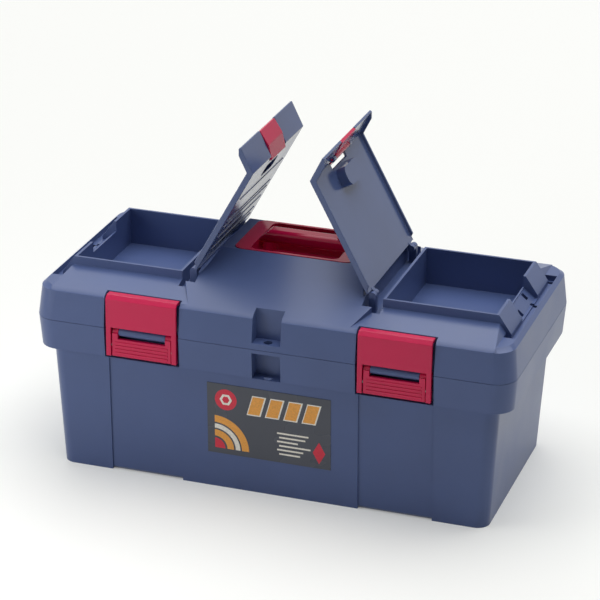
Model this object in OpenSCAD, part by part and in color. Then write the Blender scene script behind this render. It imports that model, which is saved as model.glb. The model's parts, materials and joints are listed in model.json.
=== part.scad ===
// Plastic tool box with two winged parts bins in its lid, a fixed carry handle and two draw latches.
// The origin is the middle of the underside, X is the width, Y runs to the rear and Z is up.
// The wings stand open, as they rest against the hood; the lid and the latches are shut.

/* [Tub] */
// Width of the rim at the parting line
rim_w = 453; // [448:1:480]
// Depth of the rim at the parting line
rim_d = 218; // [214:1:236]
// How far the rim's lower edge overhangs each end of the tub
overhang_w = 12.5; // [8:0.5:15]
// How far the rim's lower edge overhangs the front and the rear of the tub
overhang_d = 6; // [4:0.5:8]
// How much each end of the tub tapers from the rim to the floor
taper_w = 6.5; // [2:0.5:10]
// How much the front and the rear of the tub taper from the rim to the floor
taper_d = 4.5; // [2:0.5:8]
// Height of the rim's lower edge above the floor
rim_z = 119; // [95:1:160]
// Height of the rim band, up to the parting line
rim_h = 29; // [27:0.5:36]
// Draft of the rim band on each side
rim_draft = 2; // [1:0.25:3]
// Wall of the tub and of the lid
wall = 3; // [2:0.1:3.6]
// Corner radius of the rim and lid bands
rim_r = 20; // [14:1:26]
// Corner radius of the tub
base_r = 12; // [6:1:20]
// Width of the shallow channel under each latch
front_cut_w = 70; // [66:1:76]
// Depth of the channels in the front
front_cut_d = 1.2; // [0.8:0.1:1.4]
// Chamfer at each channel's foot
front_foot = 3; // [2:0.25:3.2]

/* [Front label] */
// Width of the label
label_w = 118; // [80:1:150]
// Height of the label
label_h = 71; // [40:1:80]
// Height of the label's lower edge above the floor
label_z = 35; // [15:1:38]
// Thickness of the label film
label_t = 0.4; // [0.2:0.05:0.8]

/* [Lid] */
// Gap at the parting line
part_gap = 0.4; // [0.2:0.05:0.8]
// Height of the lid's band above the parting line
band_h = 32; // [31:0.5:35]
// Draft of the lid's band on each side
band_draft = 3; // [1:0.5:4]
// Size of the band's rounded upper edge
shoulder = 3.5; // [2:0.25:5]
// Depth of the channel behind the band at each end
channel_deep = 5.5; // [5:0.25:7]
// Thickness of the band's edge beside that channel
channel_edge = 4; // [3.5:0.25:4.5]
// Distance from the foot of a deck's slanted end to the band's upper edge
deck_foot = 15; // [14.5:0.1:16]
// Distance from the bins' rims to the ends of the decks
deck_margin = 1; // [0.6:0.1:1.4]
// Height of the hood above the parting line
hood_h = 65; // [62:0.5:72]
// Depth of the hood's flat top
hood_flat_d = 76; // [76:1:84]
// Width of the hood's front slope where it meets the band
hood_front_w = 149; // [130:1:156]
// Distance from the gutters to the hood's sides
hood_margin = 2; // [1.5:0.1:2.5]
// Thickness of the hood's roof
hood_t = 6; // [5:0.25:8]

/* [Parts bins] */
// Distance from the middle to a bin's inner side
bin_in_x = 97.7; // [96:0.1:102]
// Distance from a bin's outer side to the band's upper edge
bin_end = 24.5; // [23.5:0.1:28]
// Depth of a bin from front to rear, inside
bin_d = 128; // [110:1:132]
// Depth of a bin below its rim
bin_deep = 35.5; // [25:0.5:38]
// Wall of a bin
bin_wall = 2.5; // [2:0.1:3]
// Height of the bins' rims above the parting line
bin_rim_h = 48; // [46:0.5:51]
// How far the bins' rims stand above the deck
bin_upstand = 8; // [7:0.25:9]
// Height of the sloping part of a bin's outer wall
slope_h = 17; // [15:0.5:18]
// Width of the notch in a bin's outer wall
notch_w = 56; // [54:1:64]
// Depth of that notch at the bin's side
notch_deep = 10.4; // [10:0.2:13]
// Length of the ramp that falls outwards from the notch
ramp_l = 12; // [10:0.5:13]
// Height of the ramp's foot above the channel
ramp_foot = 1.5; // [1:0.1:2]
// Thickness of the striking edge along the top of the ramp
striker_t = 1.5; // [1:0.1:2.5]
// Height of the striking edge above the ramp
striker_h = 1.2; // [0.6:0.1:2]
// Side of the sockets in the ramp for the catch
socket_w = 5.5; // [4:0.25:7]
// Distance of the sockets from the notch's middle
socket_off = 15.7; // [12:0.1:18]
// Width of a drain slot in the channels at the ends
slot_w = 5; // [3:0.25:6]
// Width of the hinge gutter beside a bin
gutter_w = 16.2; // [15.6:0.1:18]
// Depth of the hinge gutter below the bin rim
gutter_deep = 15; // [12:0.5:17]
// Length of the hinge gutter from front to rear
gutter_l = 154; // [142:1:160]

/* [Wings] */
// Angle between a shut wing and a wing at rest
wing_open = 118.6; // [110:0.1:122]
// Thickness of a wing
wing_t = 2.5; // [2:0.1:3]
// Depth of the flanges along a wing's front and rear edges
flange_h = 3; // [2:0.25:3.5]
// Length of a wing's bent lip
lip_l = 26; // [23:0.25:26.5]
// Slope of the lip and of the bin's outer wall below the level
lip_angle = 55; // [52:0.5:58]
// Clearance of a shut wing above the bin's rim
wing_gap = 0.4; // [0.3:0.05:0.8]
// Clearance of a shut wing's flanges and lip beside the bin
wing_side_gap = 0.6; // [0.4:0.05:1]
// Distance from the hood side of the gutter to the hinge axis
wing_axis_in = 6; // [5.6:0.1:6.6]
// Height of the hinge axis above the bin's rim
wing_axis_rise = 0.5; // [0:0.1:0.8]
// Distance from the hinge axis to the wing's near edge
wing_start = 4.4; // [4:0.1:5.6]
// Radius of a wing's hinge knuckle
wing_knuckle_r = 3.4; // [3:0.1:3.8]
// Radius of a wing's hinge pin
wing_pin_r = 1.5; // [1:0.1:1.8]
// Thickness of a wing's hinge arm
wing_arm_t = 5; // [3:0.25:6]
// Distance between a wing's two hinge arms
wing_arm_span = 110; // [90:1:116]
// Length of the finger pocket sunk in a wing, outside, along the width
pocket_l = 18; // [14:0.5:22]
// Width of the finger pocket from front to rear, outside
pocket_w = 38; // [30:0.5:44]
// How far the finger pocket stands below the wing
pocket_drop = 9; // [5:0.5:11]
// Wall of the finger pocket
pocket_wall = 2; // [1.6:0.1:2.4]
// Corner radius of the finger pocket, outside
pocket_r = 7; // [4:0.25:8]
// Distance from the lip's bend to the finger pocket
pocket_in = 10; // [8:0.5:16]

/* [Wing catches] */
// Width of a wing catch
catch_w = 39; // [32:0.5:42]
// Clearance round a wing catch
catch_gap = 0.4; // [0.3:0.05:0.8]
// Thickness of a wing catch at its ridge
catch_t = 4.2; // [3.4:0.1:4.6]
// Thickness of a wing catch at its upper edge
catch_edge_t = 1; // [0.8:0.1:1.6]
// Distance along the lip from the bend to the catch's upper edge
catch_start = -3.5; // [-4.5:0.1:-2.5]
// Step from the lip's end back to a catch's end
catch_short = 0.6; // [0.5:0.1:1.5]
// Distance along the lip from the bend to the catch's ridge
catch_ridge = 10.5; // [8:0.25:13]
// How far a wing catch stands behind the lip's inner face
catch_back = 0.8; // [0.5:0.1:1]
// Distance along the lip from the bend to the catch's pin
catch_axis = 8; // [7:0.25:10]
// Radius of a catch's pin
catch_pin_r = 1.2; // [0.8:0.1:1.4]
// Width of the ear that holds each end of the pin
catch_ear_w = 5.5; // [4:0.25:6.5]

/* [Carry handle] */
// Width of the handle's frame
handle_w = 114; // [110:1:118]
// Depth of the handle's frame
handle_d = 74; // [73:0.5:75]
// Corner radius of the handle's frame
handle_r = 8; // [5:0.5:12]
// How far the frame stands above the hood
handle_proud = 0.6; // [0.3:0.1:1.5]
// Depth of the seat that the frame sits in
handle_sink = 2; // [1.5:0.1:2.5]
// Width of the finger well
well_w = 84; // [80:1:86]
// Depth of the finger well from front to rear
well_d = 68; // [66:0.5:68]
// Corner radius of the finger well
well_r = 6; // [4:0.5:8]
// Depth of the finger well below the hood
well_deep = 26; // [22:0.5:30]
// Wall of the finger well
well_wall = 2.5; // [2:0.1:3]
// Depth of the grip from front to rear
grip_d = 16; // [14:0.5:20]
// Thickness of the grip
grip_t = 13; // [11:0.5:15]
// Height of the grip above the hood
grip_rise = 9; // [6:0.5:12]
// Radius of the grip's long edges
grip_r = 4.4; // [3.6:0.2:5.4]
// Length of the grip's ends inside the well's wall
grip_root = 1; // [0.6:0.1:1.4]
// Longer reach of the grip's underside at each end
grip_under = 4; // [3:0.5:6]
// Length of the sloping end of the grip
grip_slope = 11; // [8:0.5:16]
// Distance between the handle's screws along the width
screw_span_x = 100; // [98:0.5:102]
// Distance between the handle's screws from front to rear
screw_span_y = 44; // [30:1:50]
// Radius of a handle screw's shank
screw_r = 1.4; // [1.2:0.1:1.8]
// Radius of a handle screw's head
screw_head_r = 5; // [4.8:0.1:5.4]
// Height of a handle screw's head
screw_head_h = 2; // [1.5:0.1:2.5]
// Radius of the posts that take the screws
screw_post_r = 4; // [3.6:0.1:4.2]

/* [Latches] */
// Distance from the middle to each latch
latch_x = 119.5; // [112:0.5:126]
// Width of a latch plate
latch_w = 68; // [64:0.5:72]
// Gap on each side of a latch plate
latch_gap = 2.2; // [1.5:0.1:3]
// Depth of the latch pockets behind the bands' widest line
pocket_deep = 11; // [10.5:0.1:12]
// Height of a latch plate's top above the band
latch_rise = 0.5; // [0:0.25:3]
// Clearance between a latch plate's hook and the pocket's wall
hook_gap = 0.8; // [0.5:0.1:1.4]
// Height of a latch's lower end above the rim's lower edge
latch_foot = 2.5; // [1.5:0.25:4]
// Thickness of a latch plate
plate_t = 3; // [2:0.1:3.4]
// How far a latch plate stands out from the bands' widest line
plate_proud = 0.4; // [0.2:0.1:0.8]
// How far a lever's face sits behind its plate's
lever_set = 1; // [0.8:0.1:1.4]
// Thickness of a latch plate's side arms
arm_t = 5; // [4:0.1:5.5]
// Width of a latch plate's side arms
arm_w = 4.6; // [4:0.1:6]
// Width of the gap between the lever and the plate
lever_gap = 0.8; // [0.5:0.1:1.4]
// Thickness of a lever
lever_t = 4; // [3.4:0.1:4.6]
// Length of the bar that carries a lever
bar_l = 45; // [38:0.5:46]
// Radius of that bar
bar_r = 4; // [3.5:0.1:4.2]
// Clearance between that bar and the pocket's wall
bar_gap = 1.2; // [0.8:0.1:1.4]
// Clearance above and below the bar
bar_slot = 1.6; // [1.2:0.1:2]
// Drop of the bar's axis below the parting line
bar_drop = 4; // [4:0.25:5]
// Radius of a latch pin
latch_pin_r = 1.5; // [1.2:0.1:1.8]
// Drop of the plate's pivot below the bar's axis
pivot_drop = 12; // [10.5:0.25:14]
// Number of grip ribs on a lever
rib_n = 4; // [2:1:5]
// Height of the grip ribs
rib_t = 0.6; // [0.3:0.1:0.7]
// Width of a grip rib
rib_w = 1.6; // [1:0.1:2.2]
// Distance from a grip rib's end to the lever's side
rib_in = 3; // [2:0.25:5]

/* [Padlock eye] */
// Width of the padlock recess
eye_w = 27; // [22:0.5:32]
// Depth of the padlock recess
eye_deep = 14; // [13:0.5:16]
// Radius of the padlock hole
eye_r = 4; // [3:0.25:4.5]
// Thickness of the lid's padlock flange
eye_lid_t = 5.5; // [4:0.25:7]
// Thickness of the tub's padlock flange
eye_tub_t = 3.6; // [3:0.2:6]

/* [Lid hinge] */
// Distance from the middle to each hinge
hinge_x = 110; // [80:1:150]
// Length of a hinge
hinge_l = 44; // [36:1:60]
// Radius of a hinge knuckle
hinge_r = 5; // [4.4:0.1:5.4]
// Share of a hinge's length that the lid's knuckle takes
hinge_share = 0.45; // [0.35:0.05:0.55]
// Height of the webs that carry the knuckles
hinge_web = 6; // [5:0.25:7]
// Distance from the rim's rear face to the hinge axis
hinge_off = 6.5; // [6.2:0.1:9]
// Radius of a hinge pin
hinge_pin_r = 2; // [1.5:0.1:2.6]

/* [Inner tray] */
// Clearance of the tray inside the tub, front and rear
tray_gap_d = 8; // [7.5:0.25:16]
// Clearance of the tray's body at its ends
tray_gap_w = 5; // [3:0.25:8]
// Height of the tray
tray_h = 54; // [40:1:80]
// Drop of the tray's rim below the parting line
tray_drop = 2; // [1:0.25:6]
// Wall of the tray
tray_wall = 2; // [1.6:0.1:3]
// Radius of the tray's carry bar
tray_bar_r = 5; // [4:0.25:6]
// Length of the flanges on the tray's ends
tray_flange_l = 135; // [100:5:150]
// Clearance of those flanges inside the rim
tray_flange_gap = 3; // [2:0.25:4]
// Length of the opening under the carry bar
finger_l = 100; // [90:1:110]
// Height of that opening
finger_h = 26; // [22:0.5:28]
// Distance from a guard strip's outer end to the tray's end
guard_gap = 17; // [4:1:80]
// Height of a guard strip
guard_h = 10; // [6:0.5:14]
// Width of a guard strip's foot
guard_foot = 2; // [1.5:0.1:2.5]
// Clearance of the tray's end flanges above their ledge
seat_gap = 0.3; // [0.2:0.05:0.5]

/* [Hidden] */
$fn = 32;

// Running clearance of a pin in a part that turns on it, and of a pin in the part that holds it
pin_run = 0.15;
pin_fit = 0.05;
// Overlap that joins the bodies of one solid
eps = 0.05;
// How far a cut between two shares of a moulding stands off the face beside it
cut_in = 1;
// The same for the cut above a floor
floor_cut = 0.8;

// Sizes of the tub just under the rim and at the floor
neck_w = rim_w - 2 * (rim_draft + overhang_w);
neck_d = rim_d - 2 * (rim_draft + overhang_d);
base_w = neck_w - 2 * taper_w;
base_d = neck_d - 2 * taper_d;

// Heights of the main levels
part_z = rim_z + rim_h;
lid_z = part_z + part_gap;
band_z = part_z + band_h;
channel_z = band_z - channel_deep;
bin_z = part_z + bin_rim_h;
deck_z = bin_z - bin_upstand;
bin_floor_z = bin_z - bin_deep;
hood_z = part_z + hood_h;
gutter_z = bin_z - gutter_deep;

// Half sizes of the lid's top
band_x = rim_w / 2 - band_draft;
band_y = rim_d / 2 - band_draft;
bin_y = bin_d / 2 + bin_wall;
bin_out_x = band_x - bin_end;
bin_l = bin_out_x - bin_in_x;
deck_w = 2 * (band_x - deck_foot);
bin_rim_x = bin_out_x + bin_wall;
gutter_out_x = bin_in_x - bin_wall;
gutter_in_x = gutter_out_x - gutter_w;
deck_end_x = bin_rim_x + deck_margin;
slope_x = bin_rim_x + slope_h / tan(lip_angle);
channel_y = bin_y + 2 * slot_w;
hood_side_x = gutter_in_x - hood_margin;
hood_top_x = hood_side_x - (hood_z - bin_z) * tan(wing_open - 90);

// Wing hinge axis and the section of a shut wing
wing_axis_x = gutter_in_x + wing_axis_in;
wing_axis_z = bin_z + wing_axis_rise;
wing_low_z = bin_z + wing_gap;
wing_top_z = wing_low_z + wing_t;
wing_edge_x = wing_axis_x + wing_start;
wing_bend_x = bin_rim_x
    + (wing_side_gap + wing_t - (wing_top_z - bin_z) * cos(lip_angle)) / sin(lip_angle);
wing_y = bin_y + wing_side_gap;

// Where the tub's moulding parts into its floor and walls
corner_x = neck_w / 2 - wall;
corner_y = neck_d / 2 - wall;
floor_z = wall + floor_cut;

// Where the lid's moulding parts into its front, rear, ends, bins and hood
lid_cut_y = bin_y + cut_in;
end_cut_x = bin_out_x - cut_in;
front_share = 0.56;
front_split_x = front_share * gutter_in_x;
hood_cut_x = gutter_in_x + cut_in;

// Latch axes and levels
pocket_y = -rim_d / 2 + pocket_deep;
bar_y = pocket_y - bar_r - bar_gap;
bar_z = part_z - bar_drop;
plate_y = -rim_d / 2 - plate_proud;
plate_low_z = rim_z + latch_foot;
plate_top_z = band_z + latch_rise;
lever_w = latch_w - 2 * (arm_w + lever_gap);
lever_y = plate_y + lever_set;
ear_w = (lever_w - bar_l) / 2 - catch_gap;
pivot_y = lever_y + lever_t / 2;
pivot_z = bar_z - pivot_drop;

hinge_y = rim_d / 2 + hinge_off;
hinge_lid_l = hinge_l * hinge_share;
eye_y = -rim_d / 2 + eye_deep / 2;
eye_wall_y = -rim_d / 2 + eye_deep;

tray_x = neck_w / 2 - wall - tray_gap_w;
tray_y = neck_d / 2 - wall - tray_gap_d;
tray_top_z = part_z - tray_drop;
tray_low_z = tray_top_z - tray_h;
tray_seat_z = rim_z + wall + seat_gap;

// Where the tray's moulding parts into its floor, walls and divider
tray_cut_z = tray_low_z + tray_wall + floor_cut;
tray_cut_y = tray_y - tray_wall - cut_in;

navy = [0.27, 0.31, 0.45];
crimson = [0.66, 0.13, 0.25];
steel = [0.72, 0.73, 0.75];
film = [0.16, 0.17, 0.21];

// Height of a sloping roof's section against the wall's thickness
roof_share = 1.05;

// Distance of the tub's sloping front from the middle at a height
function front_y(z) = base_d / 2 + (neck_d - base_d) / 2 * z / rim_z;

// A rectangle with round corners
module rounded(w, d, r) {
    square([w - 2 * r, d], center = true);
    square([w, d - 2 * r], center = true);
    for (x = [-1, 1], y = [-1, 1])
        translate([x * (w / 2 - r), y * (d / 2 - r)])
            circle(r);
}

// A round-cornered block whose top differs from its bottom in size
module frustum(w0, d0, w1, d1, h, r) {
    linear_extrude(height = h, scale = [w1 / w0, d1 / d0], slices = 1)
        rounded(w0, d0, r);
}

// A block that spans a length of X, given by its section in Y and Z
module along_x(x0, x1) {
    translate([x0, 0, 0])
        rotate([90, 0, 90])
            linear_extrude(height = x1 - x0)
                children();
}

// A block that spans a length of Y, given by its section in X and Z
module along_y(y0, y1) {
    translate([0, y1, 0])
        rotate([90, 0, 0])
            linear_extrude(height = y1 - y0)
                children();
}

// A round bar along X or Y
module bar_x(x0, x1, y, z, r) {
    translate([x0, y, z])
        rotate([0, 90, 0])
            cylinder(r = r, h = x1 - x0);
}

module bar_y_axis(x, y0, y1, z, r) {
    translate([x, y0, z])
        rotate([-90, 0, 0])
            cylinder(r = r, h = y1 - y0);
}

// The same shape on the right side and, mirrored, on the left
module on_side(s) {
    if (s < 0)
        mirror([1, 0, 0]) children();
    else
        children();
}

module both_sides() {
    children();
    mirror([1, 0, 0]) children();
}

// A shut wing's shape swung to where the wing rests
module swung(s) {
    on_side(s)
        translate([wing_axis_x, 0, wing_axis_z])
            rotate([0, -wing_open, 0])
                translate([-wing_axis_x, 0, -wing_axis_z])
                    children();
}

// Section of the sloping deck between front and rear, up to a height at the bins' edge
module deck_section(edge_z, inset) {
    polygon([
        [-band_y + inset, part_z + shoulder],
        [-band_y + inset, band_z - shoulder - inset / 2],
        [-band_y + inset + shoulder, band_z - inset],
        [-bin_y, edge_z - inset],
        [bin_y, edge_z - inset],
        [band_y - inset - shoulder, band_z - inset],
        [band_y - inset, band_z - shoulder - inset / 2],
        [band_y - inset, part_z + shoulder]
    ]);
}

// The latch pockets, and the walls that close them off from the inside
module latch_pockets(z0, z1, grow) {
    both_sides()
        translate([latch_x - latch_w / 2 - latch_gap - grow, -rim_d, z0])
            cube([latch_w + 2 * (latch_gap + grow), rim_d + pocket_y + grow, z1 - z0]);
}

// The padlock recess, and the wall that closes it off from the inside
module eye_recess(z0, z1, grow) {
    translate([-eye_w / 2 - grow, -rim_d, z0])
        cube([eye_w + 2 * grow, rim_d + eye_wall_y + grow, z1 - z0]);
}

module eye_hole() {
    translate([0, eye_y, rim_z])
        cylinder(r = eye_r, h = band_h + rim_h);
}

module tub_cavity() {
    low_w = base_w - 2 * wall;
    low_d = base_d - 2 * wall;
    rim_low_w = rim_w - 2 * rim_draft - 2 * wall;
    rim_low_d = rim_d - 2 * rim_draft - 2 * wall;
    translate([0, 0, wall])
        frustum(low_w, low_d, neck_w - 2 * wall, neck_d - 2 * wall, rim_z + eps, base_r - wall / 2);
    translate([0, 0, rim_z + wall])
        frustum(rim_low_w, rim_low_d, rim_w - 2 * wall, rim_d - 2 * wall, rim_h - wall + eps, rim_r - wall);
}

// The channels, each with a chamfered foot
module front_channels() {
    low_y = -front_y(front_foot) + front_cut_d;
    section = [
        [-rim_d, -1],
        [-rim_d, rim_z],
        [-front_y(rim_z) + front_cut_d, rim_z],
        [low_y, front_foot],
        [low_y + front_foot, -eps],
        [low_y + front_foot, -1]
    ];
    both_sides()
        along_x(latch_x - front_cut_w / 2, latch_x + front_cut_w / 2)
            polygon(section);
}

module lever_bars() {
    both_sides()
        difference() {
            union() {
                bar_x(latch_x - bar_l / 2, latch_x + bar_l / 2, bar_y, bar_z, bar_r);
                translate([latch_x - bar_l / 2, bar_y, bar_z - bar_r / 2])
                    cube([bar_l, pocket_y - bar_y + wall / 2, bar_r]);
            }
            bar_x(latch_x - bar_l, latch_x + bar_l, bar_y, bar_z, latch_pin_r + pin_fit);
        }
}

module tub_hinge_knuckles() {
    end_l = (hinge_l - hinge_lid_l) / 2 - catch_gap;
    for (x = [-hinge_x, hinge_x], s = [-1, 1])
        translate([x + s * (hinge_l - end_l) / 2 - end_l / 2, 0, 0])
            difference() {
                union() {
                    bar_x(0, end_l, hinge_y, part_z, hinge_r);
                    translate([0, rim_d / 2 - rim_draft - wall / 2, part_z - hinge_web - cut_in])
                        cube([end_l, hinge_y - rim_d / 2 + rim_draft + wall / 2, hinge_web]);
                }
                bar_x(-1, end_l + 1, hinge_y, part_z, hinge_pin_r + pin_fit);
            }
}

// The tub's one-piece moulding
module tub_shell() {
    difference() {
        union() {
            frustum(base_w, base_d, neck_w, neck_d, rim_z + eps, base_r);
            translate([0, 0, rim_z])
                frustum(rim_w - 2 * rim_draft, rim_d - 2 * rim_draft, rim_w, rim_d, rim_h, rim_r);
        }
        difference() {
            tub_cavity();
            latch_pockets(rim_z - wall, part_z, wall);
            eye_recess(rim_z - wall, part_z, wall);
        }
        front_channels();
        latch_pockets(rim_z + eps, part_z + 1, 0);
        eye_recess(rim_z + eps, part_z - eye_tub_t, 0);
        eye_hole();
    }
    lever_bars();
    tub_hinge_knuckles();
}

// The share of the moulding that each wall takes: the walls part along the corners' diagonals
module front_zone(turn) {
    rotate([0, 0, turn])
        translate([0, 0, floor_z])
            linear_extrude(height = hood_z)
                polygon([
                    [-corner_x - rim_d, -corner_y - rim_d],
                    [corner_x + rim_d, -corner_y - rim_d],
                    [corner_x - corner_y / 2, -corner_y / 2],
                    [corner_y / 2 - corner_x, -corner_y / 2]
                ]);
}

module end_zone(turn) {
    rotate([0, 0, turn])
        translate([0, 0, floor_z])
            linear_extrude(height = hood_z)
                polygon([
                    [corner_x + rim_d, -corner_y - rim_d],
                    [corner_x + rim_d, corner_y + rim_d],
                    [corner_x - corner_y / 2, corner_y / 2],
                    [corner_x - corner_y / 2, -corner_y / 2]
                ]);
}

module tub_floor() {
    color(navy)
        intersection() {
            tub_shell();
            translate([-rim_w, -rim_w, -1])
                cube([2 * rim_w, 2 * rim_w, floor_z + 1]);
        }
}

module tub_front() {
    color(navy)
        intersection() {
            tub_shell();
            front_zone(0);
        }
}

module tub_rear() {
    color(navy)
        intersection() {
            tub_shell();
            front_zone(180);
        }
}

module tub_left_end() {
    color(navy)
        intersection() {
            tub_shell();
            end_zone(180);
        }
}

module tub_right_end() {
    color(navy)
        intersection() {
            tub_shell();
            end_zone(0);
        }
}

module front_label() {
    section = [
        [-front_y(label_z), label_z],
        [-front_y(label_z) - label_t, label_z],
        [-front_y(label_z + label_h) - label_t, label_z + label_h],
        [-front_y(label_z + label_h), label_z + label_h]
    ];
    color(film)
        along_x(-label_w / 2, label_w / 2)
            polygon(section);
}

module lid_hinge_pins() {
    color(steel)
        for (x = [-hinge_x, hinge_x])
            bar_x(x - hinge_l / 2, x + hinge_l / 2, hinge_y, part_z, hinge_pin_r);
}

module lever_pin(s) {
    pin_l = bar_l + 2 * (catch_gap + ear_w);
    color(steel)
        on_side(s)
            bar_x(latch_x - pin_l / 2, latch_x + pin_l / 2, bar_y, bar_z, latch_pin_r);
}

module left_lever_pin() {
    lever_pin(-1);
}

module right_lever_pin() {
    lever_pin(1);
}

// The lid's band, with its rounded upper edge
module lid_band() {
    top_w = 2 * band_x;
    top_d = 2 * band_y;
    straight_h = band_h - shoulder - part_gap;
    translate([0, 0, lid_z])
        frustum(rim_w, rim_d, top_w, top_d, straight_h, rim_r);
    translate([0, 0, band_z - shoulder - eps])
        frustum(top_w, top_d, top_w - 2 * shoulder, top_d - 2 * shoulder, shoulder + eps, rim_r);
}

// The front and rear decks, which slope up to the bins and end in slanted faces at the sides
module lid_decks() {
    end_section = [
        [-deck_w / 2, channel_z - wall],
        [-deck_w / 2, band_z],
        [-deck_end_x, deck_z],
        [-deck_end_x, hood_z],
        [deck_end_x, hood_z],
        [deck_end_x, deck_z],
        [deck_w / 2, band_z],
        [deck_w / 2, channel_z - wall]
    ];
    intersection() {
        along_x(-deck_w, deck_w)
            deck_section(deck_z, 0);
        along_y(-rim_d, rim_d)
            polygon(end_section);
        linear_extrude(height = hood_z)
            rounded(2 * band_x, 2 * band_y, rim_r);
    }
}

// The raised middle: a front and rear slope, and the steeper hood between the wings
module lid_middle() {
    plan = [
        [-hood_front_w / 2, -band_y],
        [hood_front_w / 2, -band_y],
        [gutter_out_x - hood_margin, -bin_y],
        [gutter_out_x - hood_margin, bin_y],
        [hood_front_w / 2, band_y],
        [-hood_front_w / 2, band_y],
        [-gutter_out_x + hood_margin, bin_y],
        [-gutter_out_x + hood_margin, -bin_y]
    ];
    intersection() {
        along_x(-bin_in_x, bin_in_x)
            deck_section(bin_z, 0);
        linear_extrude(height = hood_z)
            polygon(plan);
    }
    intersection() {
        along_x(-hood_side_x, hood_side_x)
            polygon([[-bin_y, bin_z - wall], [-bin_y, bin_z], [-hood_flat_d / 2, hood_z],
                [hood_flat_d / 2, hood_z], [bin_y, bin_z], [bin_y, bin_z - wall]]);
        along_y(-rim_d, rim_d)
            polygon([[-hood_side_x, bin_z - wall], [-hood_side_x, bin_z], [-hood_top_x, hood_z],
                [hood_top_x, hood_z], [hood_side_x, bin_z], [hood_side_x, bin_z - wall]]);
    }
}

// The bins' raised walls, with their sloping outer sides
module bin_walls() {
    section = [
        [gutter_out_x, gutter_z],
        [gutter_out_x, bin_z],
        [bin_rim_x, bin_z],
        [slope_x, bin_z - slope_h],
        [slope_x, channel_z - wall],
        [bin_rim_x, channel_z - wall]
    ];
    both_sides()
        along_y(-bin_y, bin_y)
            polygon(section);
}

module lid_cavity() {
    roof = wall * roof_share;
    translate([0, 0, part_z - eps])
        frustum(rim_w - 2 * wall, rim_d - 2 * wall, 2 * (band_x - wall), 2 * (band_y - wall),
            channel_z - wall - part_z, rim_r - wall);
    intersection() {
        along_x(-deck_w / 2 + wall, deck_w / 2 - wall)
            deck_section(deck_z, roof);
        along_y(-rim_d, rim_d)
            polygon([[-bin_out_x, part_z], [-bin_out_x, hood_z], [bin_out_x, hood_z], [bin_out_x, part_z]]);
    }
    intersection() {
        along_x(-hood_front_w / 2 + wall, hood_front_w / 2 - wall)
            deck_section(bin_z, roof);
        linear_extrude(height = hood_z)
            square([2 * (gutter_in_x - wall), rim_d], center = true);
    }
    intersection() {
        along_x(-hood_side_x, hood_side_x)
            polygon([[-bin_y, deck_z - wall], [-bin_y, bin_z - roof], [-hood_flat_d / 2, hood_z - hood_t],
                [hood_flat_d / 2, hood_z - hood_t], [bin_y, bin_z - roof], [bin_y, deck_z - wall]]);
        along_y(-rim_d, rim_d)
            polygon([[-hood_side_x + wall, deck_z - wall], [-hood_top_x + wall, hood_z],
                [hood_top_x - wall, hood_z], [hood_side_x - wall, deck_z - wall]]);
    }
}

// The bins' own boxes and the gutters' troughs, which hang inside the lid
module bin_boxes(grow) {
    floor_z = bin_floor_z - grow;
    both_sides()
        translate([bin_in_x - grow, -bin_d / 2 - grow, floor_z])
            cube([bin_l + 2 * grow, bin_d + 2 * grow, grow > 0 ? deck_z - floor_z : hood_z - floor_z]);
}

module gutters(grow) {
    floor_z = gutter_z - grow;
    both_sides()
        translate([gutter_in_x - grow, -gutter_l / 2 - grow, floor_z])
            cube([gutter_w + 2 * grow, gutter_l + 2 * grow, hood_z - floor_z]);
}

// Notches in the bins' outer walls: a striking edge, and a ramp with two sockets that falls to the channel
module bin_notches() {
    notch_z = bin_z - notch_deep;
    ramp_x = bin_out_x + ramp_l;
    ramp_z = channel_z + ramp_foot;
    edge_x = bin_out_x + striker_t;
    both_sides() {
        along_y(-notch_w / 2, notch_w / 2)
            polygon([
                [bin_out_x - eps, bin_z + 1],
                [bin_out_x - eps, notch_z],
                [edge_x, notch_z],
                [edge_x, notch_z - striker_h],
                [ramp_x, ramp_z],
                [slope_x + 1, ramp_z],
                [slope_x + 1, bin_z + 1]
            ]);
        for (p = [[edge_x + striker_t / 2, socket_off], [ramp_x - socket_w, -socket_off]])
            translate([p[0], p[1] - socket_w / 2, channel_z])
                cube([socket_w, socket_w, notch_deep]);
    }
}

// The channels at the ends, between the bins' walls and the band, and their drain slots
module side_channels() {
    both_sides()
        translate([deck_w / 2, -channel_y, channel_z])
            cube([band_x - channel_edge - deck_w / 2, 2 * channel_y, band_h]);
}

module channel_slots() {
    slot_x = slope_x - wall;
    slot_l = band_x - channel_edge - catch_gap - slot_x;
    both_sides()
        for (y = [bin_y + slot_w / 2, 2 * slot_w])
            translate([slot_x, y, channel_z - wall * 1.5])
                cube([slot_l, slot_w, wall * 2.5]);
}

// Posts in the gutters that hold the wings' pins
module wing_posts() {
    post_t = wing_arm_t;
    both_sides()
        for (s = [-1, 1]) {
            y0 = s * (wing_arm_span / 2 + wing_arm_t + catch_gap + post_t / 2) - post_t / 2;
            difference() {
                union() {
                    bar_y_axis(wing_axis_x, y0, y0 + post_t, wing_axis_z, wing_knuckle_r);
                    translate([wing_axis_x - wing_knuckle_r, y0, gutter_z - eps])
                        cube([2 * wing_knuckle_r, post_t, wing_axis_z - gutter_z]);
                }
                bar_y_axis(wing_axis_x, y0 - 1, y0 + post_t + 1, wing_axis_z, wing_pin_r + pin_fit);
            }
        }
}

module lid_hinge_knuckles() {
    for (x = [-hinge_x, hinge_x])
        translate([x - hinge_lid_l / 2, 0, 0])
            difference() {
                union() {
                    bar_x(0, hinge_lid_l, hinge_y, part_z, hinge_r);
                    translate([0, band_y - wall / 2, lid_z + catch_gap])
                        cube([hinge_lid_l, hinge_y - band_y + wall / 2, hinge_web]);
                }
                bar_x(-1, hinge_lid_l + 1, hinge_y, part_z, hinge_pin_r + pin_run);
            }
}

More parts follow.
